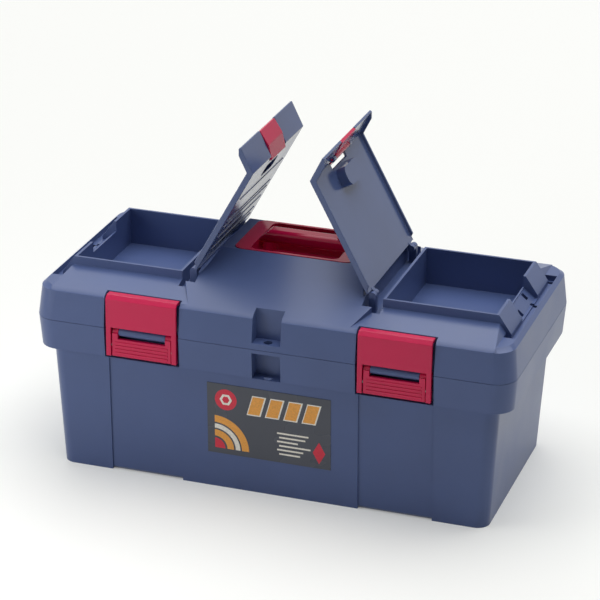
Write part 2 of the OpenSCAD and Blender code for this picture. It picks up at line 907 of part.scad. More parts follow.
module handle_screw_places() {
    for (x = [-1, 1], y = [-1, 1])
        translate([x * screw_span_x / 2, y * screw_span_y / 2, 0])
            children();
}

module handle_seat() {
    translate([0, 0, hood_z - handle_sink])
        linear_extrude(height = handle_sink + 1)
            rounded(handle_w + 2 * catch_gap, handle_d + 2 * catch_gap, handle_r);
    translate([0, 0, gutter_z])
        linear_extrude(height = hood_z)
            rounded(well_w + 2 * (well_wall + catch_gap), well_d + 2 * (well_wall + catch_gap), well_r);
    handle_screw_places()
        translate([0, 0, gutter_z])
            cylinder(r = screw_post_r + catch_gap, h = hood_z);
}

module lid_outer() {
    lid_band();
    lid_decks();
    lid_middle();
}

// The lid's one-piece moulding
module lid_shell() {
    difference() {
        union() {
            difference() {
                lid_outer();
                difference() {
                    lid_cavity();
                    latch_pockets(part_z, hood_z, wall);
                    eye_recess(part_z, hood_z, wall);
                }
                side_channels();
            }
            bin_boxes(bin_wall);
            intersection() {
                lid_outer();
                gutters(wall);
            }
            bin_walls();
        }
        bin_boxes(0);
        gutters(0);
        bin_notches();
        channel_slots();
        latch_pockets(part_z - 1, hood_z, 0);
        eye_recess(lid_z + eye_lid_t, hood_z, 0);
        eye_hole();
        handle_seat();
    }
    wing_posts();
    lid_hinge_knuckles();
}

// The share of the lid's moulding between given sides
module lid_share(x0, x1, y0, y1) {
    color(navy)
        intersection() {
            lid_shell();
            translate([x0, y0, 0])
                cube([x1 - x0, y1 - y0, 2 * hood_z]);
        }
}

module lid_front_left() {
    lid_share(-rim_w, -front_split_x, -rim_w, -lid_cut_y);
}

module lid_front_middle() {
    lid_share(-front_split_x, front_split_x, -rim_w, -lid_cut_y);
}

module lid_front_right() {
    lid_share(front_split_x, rim_w, -rim_w, -lid_cut_y);
}

module lid_rear() {
    lid_share(-rim_w, rim_w, lid_cut_y, rim_w);
}

module lid_left_end() {
    lid_share(-rim_w, -end_cut_x, -lid_cut_y, lid_cut_y);
}

module lid_right_end() {
    lid_share(end_cut_x, rim_w, -lid_cut_y, lid_cut_y);
}

module left_bin() {
    lid_share(-end_cut_x, -hood_cut_x, -lid_cut_y, lid_cut_y);
}

module right_bin() {
    lid_share(hood_cut_x, end_cut_x, -lid_cut_y, lid_cut_y);
}

module lid_hood() {
    lid_share(-hood_cut_x, hood_cut_x, -lid_cut_y, lid_cut_y);
}

module grip_section() {
    translate([0, hood_z + grip_rise - grip_t / 2])
        rounded(grip_d, grip_t, grip_r);
}

module handle() {
    frame_z = hood_z - handle_sink;
    top_z = hood_z + grip_rise;
    end_x = well_w / 2 + well_wall;
    slope_x = well_w / 2 + grip_root - grip_slope;
    color(crimson)
        difference() {
            union() {
                translate([0, 0, frame_z])
                    linear_extrude(height = handle_sink + handle_proud)
                        difference() {
                            rounded(handle_w, handle_d, handle_r);
                            rounded(well_w, well_d, well_r);
                        }
                translate([0, 0, hood_z - well_deep - well_wall])
                    difference() {
                        linear_extrude(height = well_deep + well_wall - handle_sink / 2)
                            rounded(well_w + 2 * well_wall, well_d + 2 * well_wall, well_r);
                        translate([0, 0, well_wall])
                            linear_extrude(height = well_deep + 1)
                                rounded(well_w, well_d, well_r);
                    }
                intersection() {
                    along_x(-end_x, end_x)
                        grip_section();
                    along_y(-grip_d, grip_d)
                        polygon([[-end_x, frame_z], [-end_x, hood_z], [-end_x + well_wall - grip_root, hood_z],
                            [-slope_x, top_z], [slope_x, top_z], [end_x - well_wall + grip_root, hood_z],
                            [end_x, hood_z], [end_x, frame_z], [slope_x + grip_under, top_z - grip_t],
                            [-slope_x - grip_under, top_z - grip_t]]);
                }
                handle_screw_places()
                    translate([0, 0, hood_z - hood_t + 0.2])
                        cylinder(r = screw_post_r, h = hood_t - handle_sink);
            }
            handle_screw_places()
                translate([0, 0, hood_z - hood_t - 1])
                    cylinder(r = screw_r + pin_fit, h = hood_t);
        }
}

module handle_screws() {
    color(steel)
        handle_screw_places() {
            translate([0, 0, hood_z - hood_t - screw_head_h])
                cylinder(r = screw_head_r, h = screw_head_h);
            translate([0, 0, hood_z - hood_t - eps])
                cylinder(r = screw_r, h = hood_t - 1.5);
        }
}

module wing_pins(s) {
    y0 = wing_arm_span / 2;
    pin_l = 2 * wing_arm_t + catch_gap;
    color(steel)
        on_side(s)
            for (y = [-y0 - pin_l, y0])
                bar_y_axis(wing_axis_x, y, y + pin_l, wing_axis_z, wing_pin_r);
}

module left_wing_pins() {
    wing_pins(-1);
}

module right_wing_pins() {
    wing_pins(1);
}

// A point on a shut wing's lip: a distance down from the bend and one out from the inner face
function lip_point(s, t) = [
    wing_bend_x + s * cos(lip_angle) + (t - wing_t) * sin(lip_angle),
    wing_top_z - s * sin(lip_angle) + (t - wing_t) * cos(lip_angle)
];

// The place of a catch's pin on a shut wing
catch_pin = lip_point(catch_axis, -catch_back / 2);

module wing_panel() {
    along_y(-wing_y - wing_t, wing_y + wing_t)
        polygon([
            [wing_edge_x, wing_low_z],
            [wing_edge_x, wing_top_z],
            [wing_bend_x, wing_top_z],
            lip_point(lip_l, wing_t),
            lip_point(lip_l, 0),
            [wing_bend_x - wing_t * tan(lip_angle / 2), wing_low_z]
        ]);
}

// The flanges, which follow the lip
module wing_flanges() {
    bend_in = (wing_t + flange_h) * tan(lip_angle / 2);
    for (y = [-wing_y - wing_t, wing_y])
        along_y(y, y + wing_t)
            polygon([
                [wing_edge_x + flange_h, wing_top_z - wing_t / 2],
                [wing_edge_x + 2 * flange_h, wing_low_z - flange_h],
                [wing_bend_x - bend_in, wing_low_z - flange_h],
                lip_point(lip_l - 2 * flange_h, -flange_h),
                lip_point(lip_l, 0),
                lip_point(lip_l, wing_t / 2),
                [wing_bend_x - wing_t / 2 * tan(lip_angle / 2), wing_top_z - wing_t / 2]
            ]);
}

module wing_arms() {
    for (y = [-wing_arm_span / 2 - wing_arm_t, wing_arm_span / 2]) {
        bar_y_axis(wing_axis_x, y, y + wing_arm_t, wing_axis_z, wing_knuckle_r);
        along_y(y, y + wing_arm_t)
            polygon([
                [wing_axis_x - wing_knuckle_r * 0.5, wing_axis_z + wing_knuckle_r * 0.85],
                [wing_axis_x, wing_top_z],
                [wing_edge_x + 3, wing_top_z],
                [wing_edge_x + 3, wing_low_z],
                [wing_axis_x + wing_knuckle_r * 0.9, wing_axis_z - wing_knuckle_r * 0.4],
                [wing_axis_x, wing_axis_z]
            ]);
    }
}

// The finger pocket's outer body, or with an inset its hollow, between two heights
module finger_pocket(inset, z0, z1) {
    translate([wing_bend_x - pocket_in - pocket_l / 2, 0, z0])
        linear_extrude(height = z1 - z0)
            rounded(pocket_l - 2 * inset, pocket_w - 2 * inset, pocket_r - inset);
}

module wing_shut() {
    cut_y = catch_w / 2 + catch_gap;
    cut_s = catch_start - catch_gap;
    cut_t = 2 * wing_t;
    difference() {
        union() {
            wing_panel();
            wing_flanges();
            wing_arms();
            for (y = [-cut_y - catch_ear_w, cut_y])
                bar_y_axis(catch_pin[0], y, y + catch_ear_w, catch_pin[1], 2 * catch_pin_r + catch_gap);
            finger_pocket(0, wing_low_z - pocket_drop, wing_top_z);
        }
        finger_pocket(pocket_wall, wing_low_z - pocket_drop + pocket_wall, wing_top_z + 1);
        along_y(-cut_y, cut_y)
            polygon([
                lip_point(cut_s, -cut_t),
                lip_point(cut_s, cut_t),
                lip_point(lip_l + cut_t, cut_t),
                lip_point(lip_l + cut_t, -cut_t)
            ]);
        bar_y_axis(catch_pin[0], -cut_y - catch_ear_w - 1, cut_y + catch_ear_w + 1, catch_pin[1],
            catch_pin_r + pin_fit);
        bar_y_axis(wing_axis_x, -wing_y - 5, wing_y + 5, wing_axis_z, wing_pin_r + pin_run);
    }
}

module left_wing() {
    color(navy)
        swung(-1)
            wing_shut();
}

module right_wing() {
    color(navy)
        swung(1)
            wing_shut();
}

module catch_pin_bar(s) {
    pin_y = catch_w / 2 + catch_gap + catch_ear_w;
    color(steel)
        swung(s)
            bar_y_axis(catch_pin[0], -pin_y, pin_y, catch_pin[1], catch_pin_r);
}

module left_catch_pin() {
    catch_pin_bar(-1);
}

module right_catch_pin() {
    catch_pin_bar(1);
}

module wing_catch(s) {
    color(crimson)
        swung(s)
            difference() {
                union() {
                    along_y(-catch_w / 2, catch_w / 2)
                        polygon([
                            lip_point(catch_start, -catch_back),
                            lip_point(catch_start, catch_edge_t),
                            lip_point(catch_ridge, catch_t),
                            lip_point(lip_l - catch_short, wing_t),
                            lip_point(lip_l - catch_short, -catch_back)
                        ]);
                    bar_y_axis(catch_pin[0], -catch_w / 2, catch_w / 2, catch_pin[1], 2 * catch_pin_r);
                }
                bar_y_axis(catch_pin[0], -catch_w, catch_w, catch_pin[1], catch_pin_r + pin_run);
            }
}

module left_wing_catch() {
    wing_catch(-1);
}

module right_wing_catch() {
    wing_catch(1);
}

// The lever: two ears on the bar's pin and a ribbed flap below the bar
module latch_lever(s) {
    flap_top_z = bar_z - bar_r - bar_slot;
    ear_z = flap_top_z - lever_t;
    flap_h = flap_top_z - plate_low_z;
    rib_step = flap_h / (rib_n + 1);
    color(crimson)
        on_side(s)
            difference() {
                union() {
                    translate([latch_x - lever_w / 2, lever_y, plate_low_z])
                        cube([lever_w, lever_t, flap_h]);
                    for (i = [1 : rib_n])
                        translate([latch_x - lever_w / 2 + rib_in, lever_y - rib_t,
                            plate_low_z + i * rib_step - rib_w / 2])
                            cube([lever_w - 2 * rib_in, rib_t + eps, rib_w]);
                    for (x = [latch_x - lever_w / 2, latch_x + lever_w / 2 - ear_w]) {
                        bar_x(x, x + ear_w, bar_y, bar_z, bar_r);
                        along_x(x, x + ear_w)
                            polygon([
                                [lever_y, ear_z],
                                [lever_y, bar_z],
                                [bar_y, bar_z],
                                [bar_y + bar_r * 0.9, bar_z - bar_r * 0.3],
                                [lever_y + lever_t, ear_z]
                            ]);
                    }
                }
                bar_x(latch_x - lever_w, latch_x + lever_w, bar_y, bar_z, latch_pin_r + pin_run);
                bar_x(latch_x - lever_w, latch_x + lever_w, pivot_y, pivot_z, latch_pin_r + pin_fit);
            }
}

module left_latch_lever() {
    latch_lever(-1);
}

module right_latch_lever() {
    latch_lever(1);
}

// The two short pins on which a plate hangs from its lever
module plate_pins(s) {
    pin_l = arm_w + lever_gap + ear_w / 2;
    end_x = latch_w / 2 - 1;
    color(steel)
        on_side(s)
            for (x = [-end_x, end_x - pin_l])
                bar_x(latch_x + x, latch_x + x + pin_l, pivot_y, pivot_z, latch_pin_r);
}

module left_plate_pins() {
    plate_pins(-1);
}

module right_plate_pins() {
    plate_pins(1);
}

// The plate: a panel with a hooked top and two side arms beside the lever
module latch_plate(s) {
    panel_low_z = bar_z + bar_r + bar_slot;
    hook_y = pocket_y - hook_gap;
    color(crimson)
        on_side(s)
            difference() {
                union() {
                    along_x(latch_x - latch_w / 2, latch_x + latch_w / 2)
                        polygon([
                            [plate_y, panel_low_z],
                            [plate_y, plate_top_z - shoulder],
                            [plate_y + shoulder, plate_top_z],
                            [hook_y, plate_top_z],
                            [hook_y, plate_top_z - plate_t],
                            [plate_y + plate_t, plate_top_z - plate_t],
                            [plate_y + plate_t, panel_low_z]
                        ]);
                    for (x = [latch_x - latch_w / 2, latch_x + latch_w / 2 - arm_w])
                        translate([x, plate_y, plate_low_z])
                            cube([arm_w, arm_t, panel_low_z - plate_low_z + eps]);
                }
                bar_x(latch_x - latch_w / 2 + 1, latch_x + latch_w / 2 - 1, pivot_y, pivot_z,
                    latch_pin_r + pin_run);
            }
}

module left_latch_plate() {
    latch_plate(-1);
}

module right_latch_plate() {
    latch_plate(1);
}

// The lift-out tray's one-piece moulding, which hangs by its end flanges on the tub's ledges
module tray_shell() {
    flange_x = rim_w / 2 - rim_draft - wall - tray_flange_gap;
    grip_z = tray_top_z - tray_bar_r;
    difference() {
        union() {
            difference() {
                translate([-tray_x, -tray_y, tray_low_z])
                    cube([2 * tray_x, 2 * tray_y, tray_h]);
                for (x = [-tray_x + tray_wall, tray_wall / 2])
                    translate([x, -tray_y + tray_wall, tray_low_z + tray_wall])
                        cube([tray_x - 1.5 * tray_wall, 2 * (tray_y - tray_wall), tray_h]);
            }
            for (s = [0, 180])
                rotate([0, 0, s])
                    translate([tray_x - eps, -tray_flange_l / 2, tray_seat_z])
                        cube([flange_x - tray_x, tray_flange_l, tray_wall]);
            bar_y_axis(0, -tray_y + eps, tray_y - eps, grip_z, tray_bar_r);
        }
        translate([-tray_wall, -finger_l / 2, grip_z - tray_bar_r - finger_h])
            cube([2 * tray_wall, finger_l, finger_h]);
    }
}

// The share of the tray's moulding between given corners
module tray_share(low, high) {
    color(navy)
        intersection() {
            tray_shell();
            translate(low)
                cube(high - low);
        }
}

module tray_floor() {
    tray_share([-rim_w, -rim_w, 0], [rim_w, rim_w, tray_cut_z]);
}

module tray_front() {
    tray_share([-rim_w, -rim_w, tray_cut_z], [rim_w, -tray_cut_y, hood_z]);
}

module tray_rear() {
    tray_share([-rim_w, tray_cut_y, tray_cut_z], [rim_w, rim_w, hood_z]);
}

module tray_left_end() {
    tray_share([-rim_w, -tray_cut_y, tray_cut_z], [-tray_x / 2, tray_cut_y, hood_z]);
}

module tray_right_end() {
    tray_share([tray_x / 2, -tray_cut_y, tray_cut_z], [rim_w, tray_cut_y, hood_z]);
}

module tray_divider() {
    tray_share([-tray_x / 2, -tray_cut_y, tray_cut_z], [tray_x / 2, tray_cut_y, hood_z]);
}

// Clip-on strips that stop things from rolling off the tray's long edges
module tray_guards() {
    start_x = tray_bar_r + guard_foot;
    color(crimson)
        for (s = [0, 180], m = [0, 1])
            rotate([0, 0, s])
                mirror([m, 0, 0])
                    along_x(start_x, tray_x - guard_gap)
                        polygon([
                            [tray_y - tray_wall, tray_top_z - guard_h],
                            [tray_y - tray_wall - guard_foot, tray_top_z - guard_h],
                            [tray_y - tray_wall - guard_foot * 3, tray_top_z],
                            [tray_y - tray_wall, tray_top_z]
                        ]);
}

tub_floor();
tub_front();
tub_rear();
tub_left_end();
tub_right_end();
front_label();
lid_hinge_pins();
left_lever_pin();
right_lever_pin();
lid_front_left();
lid_front_middle();
lid_front_right();
lid_rear();
lid_left_end();
lid_right_end();
left_bin();
right_bin();
lid_hood();
handle();
handle_screws();
left_wing_pins();
right_wing_pins();
left_wing();
right_wing();
left_catch_pin();
right_catch_pin();
left_wing_catch();
right_wing_catch();
left_latch_lever();
right_latch_lever();
left_plate_pins();
right_plate_pins();
left_latch_plate();
right_latch_plate();
tray_floor();
tray_front();
tray_rear();
tray_left_end();
tray_right_end();
tray_divider();
tray_guards();
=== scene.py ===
import json
import math

import bmesh
import bpy
from bpy.props import FloatProperty, FloatVectorProperty, IntProperty, PointerProperty
from bpy.types import Operator, Panel, PropertyGroup
from mathutils import Matrix, Vector


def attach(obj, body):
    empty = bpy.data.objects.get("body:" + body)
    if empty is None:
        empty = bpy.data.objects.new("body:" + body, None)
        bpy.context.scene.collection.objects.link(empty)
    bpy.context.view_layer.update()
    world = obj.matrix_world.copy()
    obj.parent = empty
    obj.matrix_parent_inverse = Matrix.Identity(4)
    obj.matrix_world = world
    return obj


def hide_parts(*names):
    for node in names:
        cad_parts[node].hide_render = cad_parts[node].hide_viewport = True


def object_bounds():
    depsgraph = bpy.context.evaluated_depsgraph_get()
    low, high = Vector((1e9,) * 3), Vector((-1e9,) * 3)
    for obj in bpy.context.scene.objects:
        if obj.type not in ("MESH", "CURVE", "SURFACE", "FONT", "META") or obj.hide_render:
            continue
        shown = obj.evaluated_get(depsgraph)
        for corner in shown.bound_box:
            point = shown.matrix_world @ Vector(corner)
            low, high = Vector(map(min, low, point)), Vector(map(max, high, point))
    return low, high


bl_info = {
    "name": "Winged tool box",
    "version": (1, 0, 0),
    "blender": (4, 5, 0),
    "location": "View3D > Sidebar > Tool box",
    "description": "Moulded shells, wings, latches, handle and label of a tool box, on a pale studio floor",
    "category": "Object",
}

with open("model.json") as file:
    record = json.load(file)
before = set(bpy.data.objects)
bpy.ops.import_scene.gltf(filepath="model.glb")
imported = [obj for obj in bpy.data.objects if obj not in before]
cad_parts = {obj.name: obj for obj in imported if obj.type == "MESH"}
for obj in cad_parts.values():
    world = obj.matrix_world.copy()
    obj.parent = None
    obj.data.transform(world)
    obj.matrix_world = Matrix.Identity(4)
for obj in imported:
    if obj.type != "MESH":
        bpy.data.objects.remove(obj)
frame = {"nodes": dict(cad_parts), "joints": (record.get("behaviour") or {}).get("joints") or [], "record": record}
CAD_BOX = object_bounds()

MM = 0.001
SIDES = {"left": -1.0, "right": 1.0}
TUB_NODES = ("tub_floor", "tub_front", "tub_rear", "tub_left_end", "tub_right_end")
LID_NODES = (
    "lid_front_left", "lid_front_middle", "lid_front_right", "lid_rear", "lid_left_end", "lid_right_end",
    "left_bin", "right_bin", "lid_hood")
TRAY_NODES = (
    "tray_floor", "tray_front", "tray_rear", "tray_left_end", "tray_right_end", "tray_divider")

# Middles of a wing's fine ribs, in millimetres from its bend
RIB_PLACES = (34.0, 60.0, 67.0, 79.0, 93.0, 101.0)
# Height of a rib's shoulders as a share of the rib's own
RIB_SHOULDER = 0.2

# The middle part of a noise's range, where most of its values lie
NOISE_LOW, NOISE_HIGH = 0.3, 0.7
# Repeats of each noise in a metre
FLOW_SCALE, WAVE_SCALE, DRAWING_SCALE, MOTTLE_SCALE = 14.0, 60.0, 900.0, 700.0
# Spread of a plastic's colour, and of its roughness to either side
FLOW_TINT, SHEEN_BELOW, SHEEN_ABOVE = 0.05, 0.03, 0.05
# Depths and strengths of the moulded grain and of the waves under it
SHELL_GRAIN, LATCH_GRAIN, FINE_GRAIN, WAVE_DEPTH = 0.04 * MM, 0.03 * MM, 0.01 * MM, 0.4 * MM
GRAIN_STRENGTH, PLAIN_WAVE, FINE_WAVE = 0.35, 0.08, 0.02
# Strengths of a plastic's reflection
PLAIN_SHINE, SOFT_SHINE, BRIGHT_SHINE = 0.36, 0.3, 0.5
PLASTIC_IOR = 1.49
FILM_GLOSS = 0.25

# Corners nearer than this are one, and faces flatter than this are joined
WELD, FLAT_ANGLE = 0.004 * MM, math.radians(0.4)
# Half the height of the band at the parting line whose edges stay crisp
CRISP_BAND = 0.8 * MM
# Least lengths of a rounded edge and of its neighbours, in widths of the rounding
ROOM_ALONG, ROOM_BESIDE = 2.0, 1.6
# Least turn that counts as an edge to round, on most pieces and on the wing catches
SHARP, CATCH_SHARP = math.radians(28.0), math.radians(12.0)
# Largest turn inside one flat region, and over a smooth corner
LEVEL_ANGLE, SMOOTH_ANGLE = math.radians(0.6), math.radians(38.0)
# Least part of a normal that lies along the way in which a wing's or the label's face looks
WING_FACING, LABEL_FACING = 0.999, 0.9
# Depth within which a corner belongs to the label's front face
LABEL_SKIN = 0.02 * MM

# The label's design, in millimetres from its middle: leaning bars with a pale edge
BAR_PLACES = [(-20.0 + 17.5 * k, 9.0) for k in range(4)]
BAR_W, BAR_H, BAR_LEAN = 11.2, 18.0, 5.0
BAR_EDGE, EDGE_LEAN = 1.1, 5.6
# Lines of uneven length
LINES, LINE_X, LINE_Y, LINE_PITCH = 6, 8.0, -6.5, 4.2
LINE_W, LINE_H, LINE_INDENT, LINE_STEP = 30.0, 1.7, 2.0, 5.0
# Arcs about the lower left corner, each with its inner and outer radius
BOW_MIDDLE = (-52.0, -30.0)
RED_BOW, PALE_BOW, AMBER_BOWS = (0.0, 10.0), (20.0, 24.5), ((12.0, 18.5), (26.0, 33.0))
# A disc with a six-sided ring on it
DISC_MIDDLE, DISC, RING = (-41.0, 20.0), (0.0, 10.5), (3.6, 6.0)
# A lozenge, by its middle and half its width and height
LOZENGE_MIDDLE, LOZENGE_HALF = (48.0, -20.0), (6.0, 11.0)
# Heights of the inks above the film
RED_RISE, PALE_RISE, AMBER_RISE = 0.03, 0.05, 0.07

FLOOR_ROUGHNESS = 0.9
ROOM_COLOUR = (1.0, 1.0, 0.98, 1.0)
CLIP_END = 50.0


# Values that a user would change

class MouldingSizes(PropertyGroup):
    """Edge roundings and small relief of the moulded pieces."""

    shell_edge: FloatProperty(
        name="Shell edge", description="Rounding of the tub's and the lid's edges",
        default=1.0 * MM, min=0.0, subtype="DISTANCE", unit="LENGTH")
    wing_edge: FloatProperty(
        name="Wing edge", description="Rounding of the wings' edges",
        default=0.7 * MM, min=0.0, subtype="DISTANCE", unit="LENGTH")
    latch_edge: FloatProperty(
        name="Latch edge", description="Rounding of the latches' and the catches' edges",
        default=0.7 * MM, min=0.0, subtype="DISTANCE", unit="LENGTH")
    handle_edge: FloatProperty(
        name="Handle edge", description="Rounding of the handle's edges",
        default=1.0 * MM, min=0.0, subtype="DISTANCE", unit="LENGTH")
    steps: IntProperty(
        name="Rounding steps", description="Faces across each rounded edge", default=3, min=1, max=6)
    rib_reach: FloatProperty(
        name="Rib reach", description="Half the length of a wing's fine ribs", default=58.0 * MM,
        subtype="DISTANCE", unit="LENGTH")
    rib_height: FloatProperty(
        name="Rib height", description="Height of a wing's fine ribs", default=0.6 * MM,
        subtype="DISTANCE", unit="LENGTH")
    rib_width: FloatProperty(
        name="Rib width", description="Width of a wing's fine ribs", default=1.2 * MM,
        subtype="DISTANCE", unit="LENGTH")
    parting: FloatProperty(
        name="Parting height", description="Height at which the lid meets the tub with crisp edges",
        default=148.0 * MM, subtype="DISTANCE", unit="LENGTH")


class Finishes(PropertyGroup):
    """Colours, sheen and grain of the plastics, the steel and the label's inks."""

    navy: FloatVectorProperty(
        name="Navy", description="Colour of the tub, the lid and the wings",
        default=(0.075, 0.112, 0.258), min=0.0, max=1.0, size=3, subtype="COLOR")
    crimson: FloatVectorProperty(
        name="Crimson", description="Colour of the latches, the catches and the tray's guards",
        default=(0.60, 0.006, 0.075), min=0.0, max=1.0, size=3, subtype="COLOR")
    # Crimson darkened as painted shade, for the handle that sits in shade between the wings
    shaded_crimson: FloatVectorProperty(
        name="Shaded crimson", description="Crimson darkened as painted shade, for the handle",
        default=(0.44, 0.005, 0.05), min=0.0, max=1.0, size=3, subtype="COLOR")
    steel: FloatVectorProperty(
        name="Steel", description="Colour of the pins and the screws",
        default=(0.24, 0.245, 0.25), min=0.0, max=1.0, size=3, subtype="COLOR")
    film: FloatVectorProperty(
        name="Label film", description="Colour of the label's ground",
        default=(0.075, 0.082, 0.105), min=0.0, max=1.0, size=3, subtype="COLOR")
    amber: FloatVectorProperty(
        name="Amber ink", description="Colour of the label's bars and arcs",
        default=(0.83, 0.36, 0.055), min=0.0, max=1.0, size=3, subtype="COLOR")
    pale: FloatVectorProperty(
        name="Pale ink", description="Colour of the label's lines and outlines",
        default=(0.86, 0.82, 0.74), min=0.0, max=1.0, size=3, subtype="COLOR")
    red: FloatVectorProperty(
        name="Red ink", description="Colour of the label's disc and lozenge",
        default=(0.66, 0.012, 0.045), min=0.0, max=1.0, size=3, subtype="COLOR")
    shell_gloss: FloatProperty(
        name="Shell sheen", description="Roughness of the tub and the lid", default=0.33, min=0.0, max=1.0)
    wing_gloss: FloatProperty(
        name="Wing sheen", description="Roughness of the wings", default=0.17, min=0.0, max=1.0)
    latch_gloss: FloatProperty(
        name="Latch sheen", description="Roughness of the latches", default=0.22, min=0.0, max=1.0)
    handle_gloss: FloatProperty(
        name="Handle sheen", description="Roughness of the handle and the catches",
        default=0.14, min=0.0, max=1.0)
    grain: FloatProperty(
        name="Grain", description="Size of the moulded grain", default=0.45 * MM, min=0.0001,
        subtype="DISTANCE", unit="LENGTH")


class StageSizes(PropertyGroup):
    """Camera, lamps and floor."""

    azimuth: FloatProperty(
        name="Azimuth", description="Camera's turn from the front towards the right",
        default=math.radians(18.54), subtype="ANGLE")
    elevation: FloatProperty(
        name="Elevation", description="Camera's height angle", default=math.radians(22.89), subtype="ANGLE")
    roll: FloatProperty(
        name="Roll", description="Camera's turn about its own axis", default=math.radians(0.58),
        subtype="ANGLE")
    distance: FloatProperty(
        name="Distance", description="Distance from the camera to the origin's plane", default=2.527,
        subtype="DISTANCE", unit="LENGTH")
    lens: FloatProperty(name="Lens", description="Focal length in millimetres", default=160.05, min=1.0)
    offset: FloatVectorProperty(
        name="Offset", description="Place of the origin in the picture, sideways and up",
        default=(0.0030, -0.1426), size=2, subtype="XYZ", unit="LENGTH")
    floor_size: FloatProperty(
        name="Floor", description="Half the floor's length", default=6.0, subtype="DISTANCE", unit="LENGTH")
    floor_colour: FloatVectorProperty(
        name="Floor colour", description="Colour of the floor",
        default=(0.78, 0.785, 0.765), min=0.0, max=1.0, size=3, subtype="COLOR")
    floor_glow: FloatProperty(
        name="Floor glow", description="How much brighter the floor shows to the camera and in reflections",
        default=0.24, min=0.0)
    key_place: FloatVectorProperty(
        name="Key place", description="Middle of the large lamp above", default=(0.5, 2.4, 12.0), size=3,
        subtype="XYZ", unit="LENGTH")
    key_size: FloatProperty(
        name="Key size", description="Side of the large lamp above",
        default=16.0, subtype="DISTANCE", unit="LENGTH")
    key_power: FloatProperty(name="Key lamp", description="Power of the large lamp above", default=2220.0)
    fill_place: FloatVectorProperty(
        name="Fill place", description="Middle of the lamp on the left", default=(-0.55, -0.5, 0.3), size=3,
        subtype="XYZ", unit="LENGTH")
    fill_size: FloatProperty(
        name="Fill size", description="Side of the lamp on the left",
        default=0.4, subtype="DISTANCE", unit="LENGTH")
    fill_power: FloatProperty(name="Fill lamp", description="Power of the lamp on the left", default=1.3)
    world_strength: FloatProperty(name="World", description="Strength of the even light", default=0.03)
    sky_strength: FloatProperty(
        name="Seen room", description="Strength of the pale room as the camera and reflections see it",
        default=0.8)


# Materials

def new_material(name):
    """A node material with its shader ready to be wired."""
    made = bpy.data.materials.new(name)
    made.use_nodes = True
    tree = made.node_tree
    return made, tree, tree.nodes["Principled BSDF"]


def noise(tree, place, scale, detail=2.0, roughness=0.5):
    """Noise in the object's own metres."""
    node = tree.nodes.new("ShaderNodeTexNoise")
    node.inputs["Scale"].default_value = scale
    node.inputs["Detail"].default_value = detail
    node.inputs["Roughness"].default_value = roughness
    tree.links.new(place, node.inputs["Vector"])
    return node


def between(tree, value, low, high):
    """Maps the middle part of a noise onto a range of values."""
    node = tree.nodes.new("ShaderNodeMapRange")
    node.inputs["From Min"].default_value = NOISE_LOW
    node.inputs["From Max"].default_value = NOISE_HIGH
    node.inputs["To Min"].default_value = low
    node.inputs["To Max"].default_value = high
    tree.links.new(value, node.inputs["Value"])
    return node.outputs["Result"]


def tinted(tree, value, colour, spread):
    """A colour that wanders a little, darker and lighter."""
    ramp = tree.nodes.new("ShaderNodeValToRGB")
    dark, light = ramp.color_ramp.elements
    dark.position = NOISE_LOW
    light.position = NOISE_HIGH
    dark.color = [c * (1.0 - spread) for c in colour] + [1.0]
    light.color = [min(1.0, c * (1.0 + spread)) for c in colour] + [1.0]
    tree.links.new(value, ramp.inputs["Fac"])
    return ramp.outputs["Color"]


def bumped(tree, shader, height, strength, distance, under=None):
    """A bump on the shader's normal, over another bump if one is given."""
    node = tree.nodes.new("ShaderNodeBump")
    node.inputs["Strength"].default_value = strength
    node.inputs["Distance"].default_value = distance
    tree.links.new(height, node.inputs["Height"])
    if under is not None:
        tree.links.new(under.outputs["Normal"], node.inputs["Normal"])
    tree.links.new(node.outputs["Normal"], shader.inputs["Normal"])
    return node


def moulded_plastic(name, colour, gloss, grain, grain_depth, shine=PLAIN_SHINE, wave=PLAIN_WAVE):
    """Injection-moulded plastic: spark-eroded grain, faint flow marks and a slightly uneven sheen."""
    made, tree, shader = new_material(name)
    place = tree.nodes.new("ShaderNodeTexCoord").outputs["Object"]
    flow = noise(tree, place, FLOW_SCALE, detail=3.0)
    grains = noise(tree, place, 1.0 / grain, detail=3.0, roughness=0.6)
    waves = noise(tree, place, WAVE_SCALE, detail=1.0)
    tint = tinted(tree, flow.outputs["Fac"], colour, FLOW_TINT)
    sheen = between(tree, flow.outputs["Fac"], gloss - SHEEN_BELOW, gloss + SHEEN_ABOVE)
    tree.links.new(tint, shader.inputs["Base Color"])
    tree.links.new(sheen, shader.inputs["Roughness"])
    soft = bumped(tree, shader, waves.outputs["Fac"], wave, WAVE_DEPTH)
    bumped(tree, shader, grains.outputs["Fac"], GRAIN_STRENGTH, grain_depth, soft)
    shader.inputs["Specular IOR Level"].default_value = shine
    shader.inputs["IOR"].default_value = PLASTIC_IOR
    return made


def drawn_steel(name, colour):
    """Bright wire with fine drawing lines."""
    made, tree, shader = new_material(name)
    place = tree.nodes.new("ShaderNodeTexCoord").outputs["Object"]
    lines = noise(tree, place, DRAWING_SCALE)
    tint = tinted(tree, lines.outputs["Fac"], colour, spread=0.12)
    sheen = between(tree, lines.outputs["Fac"], low=0.25, high=0.42)
    shader.inputs["Metallic"].default_value = 1.0
    tree.links.new(tint, shader.inputs["Base Color"])
    tree.links.new(sheen, shader.inputs["Roughness"])
    bumped(tree, shader, lines.outputs["Fac"], strength=0.1, distance=0.05 * MM)
    return made


def printed_ink(name, colour):
    """Ink on film: a faintly mottled colour with a soft sheen."""
    made, tree, shader = new_material(name)
    place = tree.nodes.new("ShaderNodeTexCoord").outputs["Object"]
    mottle = noise(tree, place, MOTTLE_SCALE)
    tint = tinted(tree, mottle.outputs["Fac"], colour, spread=0.1)
    sheen = between(tree, mottle.outputs["Fac"], low=0.28, high=0.38)
    tree.links.new(tint, shader.inputs["Base Color"])
    tree.links.new(sheen, shader.inputs["Roughness"])
    bumped(tree, shader, mottle.outputs["Fac"], strength=0.1, distance=0.02 * MM)
    return made


